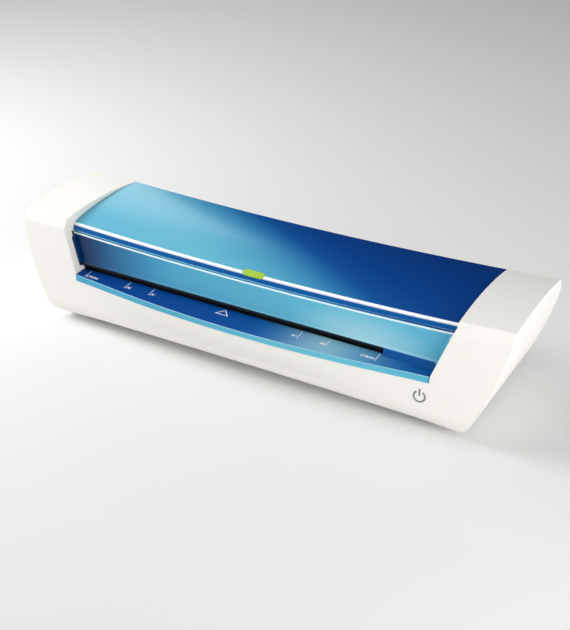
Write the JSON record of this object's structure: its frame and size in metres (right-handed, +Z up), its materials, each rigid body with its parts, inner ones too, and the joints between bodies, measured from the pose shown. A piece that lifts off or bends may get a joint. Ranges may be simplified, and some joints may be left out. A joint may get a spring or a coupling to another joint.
{
  "type": "desktop roller laminator",
  "caption": "Compact desktop pouch laminator: white waisted body, glossy blue cover, front feed slot over a size-marked tray, geared heated rollers and a rear exit slot.",
  "frame": {"origin": "centre of the footprint, on the surface that the rubber feet stand on", "axes": "+X to the right of a person feeding a pouch, +Y from the feed slot to the rear exit, +Z up"},
  "size_m": [0.3484, 0.1052, 0.0775],
  "materials": {
    "white_shell": "satin moulded",
    "blue_gloss": "high gloss",
    "blue_tray": "high gloss",
    "green_lens": "translucent lens",
    "zinc_steel": "zinc plated",
    "roller_steel": "ground",
    "spring_steel": "bright wire",
    "screw_steel": "bright zinc",
    "bearing_plastic": "acetal",
    "gear_plastic": "acetal",
    "pinion_brass": "cut",
    "heater_aluminium": "extruded",
    "black_plastic": "fine texture",
    "rocker_black": "semi gloss",
    "fuse_white": "ceramic",
    "motor_can": "plated can",
    "green_board": "solder resist",
    "green_terminal": "moulded",
    "relay_blue": "moulded",
    "black_rubber": "matt",
    "silicone": "ground silicone"
  },
  "bodies": {
    "chassis": {"base_plate": "white_shell", "base_screws": "screw_steel", "board_capacitors": "black_plastic", "board_posts": "bearing_plastic", "board_relay": "relay_blue", "board_terminals": "green_terminal", "board_transformer": "black_plastic", "control_board": "green_board", "entry_guide_lower": "black_plastic", "entry_guide_upper": "black_plastic", "exit_guide_lower": "black_plastic", "exit_guide_upper": "black_plastic", "feed_tray": "blue_tray", "front_panel": "blue_gloss", "front_pressure_springs": "spring_steel", "heat_shield": "heater_aluminium", "housing": "white_shell", "idler_pin": "screw_steel", "light_board": "green_board", "lower_bushes": "bearing_plastic", "lower_heater": "heater_aluminium", "mains_inlet": "black_plastic", "motor": "motor_can", "motor_screws": "screw_steel", "motor_standoffs": "zinc_steel", "ready_light": "green_lens", "rear_cover": "white_shell", "rear_pressure_springs": "spring_steel", "rubber_feet": "black_rubber", "side_frame_left": "zinc_steel", "side_frame_right": "zinc_steel", "switch_case": "black_plastic", "thermal_fuse": "fuse_white", "thermostat": "black_plastic", "tie_bars": "zinc_steel", "top_cover": "blue_gloss", "upper_heater": "heater_aluminium"},
    "front_lower_roller": {"front_lower_shaft": "roller_steel", "front_lower_sleeve": "silicone", "front_lower_gear": "gear_plastic"},
    "rear_lower_roller": {"rear_lower_shaft": "roller_steel", "rear_lower_sleeve": "silicone", "rear_lower_gear": "gear_plastic"},
    "front_upper_roller": {"front_upper_shaft": "roller_steel", "front_upper_sleeve": "silicone", "front_upper_gear": "gear_plastic"},
    "rear_upper_roller": {"rear_upper_shaft": "roller_steel", "rear_upper_sleeve": "silicone", "rear_upper_gear": "gear_plastic"},
    "front_blocks": {"front_bearing_blocks": "bearing_plastic"},
    "rear_blocks": {"rear_bearing_blocks": "bearing_plastic"},
    "idler": {"idler_gear": "gear_plastic"},
    "pinion": {"motor_pinion": "pinion_brass", "motor_shaft": "zinc_steel"},
    "rocker": {"power_rocker": "rocker_black"}
  },
  "joints": [
    {"name": "front_lower_spin", "type": "hinge", "parent": "chassis", "child": "front_lower_roller", "pos_m": [0, -0.002, 0.03], "axis": [1, 0, 0], "continuous": true},
    {"name": "rear_lower_spin", "type": "hinge", "parent": "chassis", "child": "rear_lower_roller", "pos_m": [0, 0.026, 0.03], "axis": [1, 0, 0], "continuous": true},
    {"name": "front_roller_lift", "type": "slide", "parent": "chassis", "child": "front_blocks", "axis": [0, 0, 1], "range_m": [0, 0.0012], "stiffness_N_per_m": 3000, "springref_m": -0.003, "deforming": ["front_pressure_springs"]},
    {"name": "rear_roller_lift", "type": "slide", "parent": "chassis", "child": "rear_blocks", "axis": [0, 0, 1], "range_m": [0, 0.0012], "stiffness_N_per_m": 3000, "springref_m": -0.003, "deforming": ["rear_pressure_springs"]},
    {"name": "front_upper_spin", "type": "hinge", "parent": "front_blocks", "child": "front_upper_roller", "pos_m": [0, -0.002, 0.048], "axis": [1, 0, 0], "continuous": true},
    {"name": "rear_upper_spin", "type": "hinge", "parent": "rear_blocks", "child": "rear_upper_roller", "pos_m": [0, 0.026, 0.048], "axis": [1, 0, 0], "continuous": true},
    {"name": "idler_spin", "type": "hinge", "parent": "chassis", "child": "idler", "pos_m": [0, 0.012, 0.03], "axis": [1, 0, 0], "continuous": true},
    {"name": "pinion_spin", "type": "hinge", "parent": "chassis", "child": "pinion", "pos_m": [0, -0.017, 0.03], "axis": [1, 0, 0], "continuous": true},
    {"name": "power_rocker_tilt", "type": "hinge", "parent": "chassis", "child": "rocker", "pos_m": [0.127, 0.0481, 0.02], "axis": [0, 0, 1], "range_deg": [0, 16]}
  ],
  "couplings": [
    {"joint": "rear_lower_spin", "follows": "front_lower_spin", "ratio": 1},
    {"joint": "front_upper_spin", "follows": "front_lower_spin", "ratio": -1},
    {"joint": "rear_upper_spin", "follows": "front_lower_spin", "ratio": -1},
    {"joint": "idler_spin", "follows": "front_lower_spin", "ratio": -1.8},
    {"joint": "pinion_spin", "follows": "front_lower_spin", "ratio": -1.5}
  ]
}
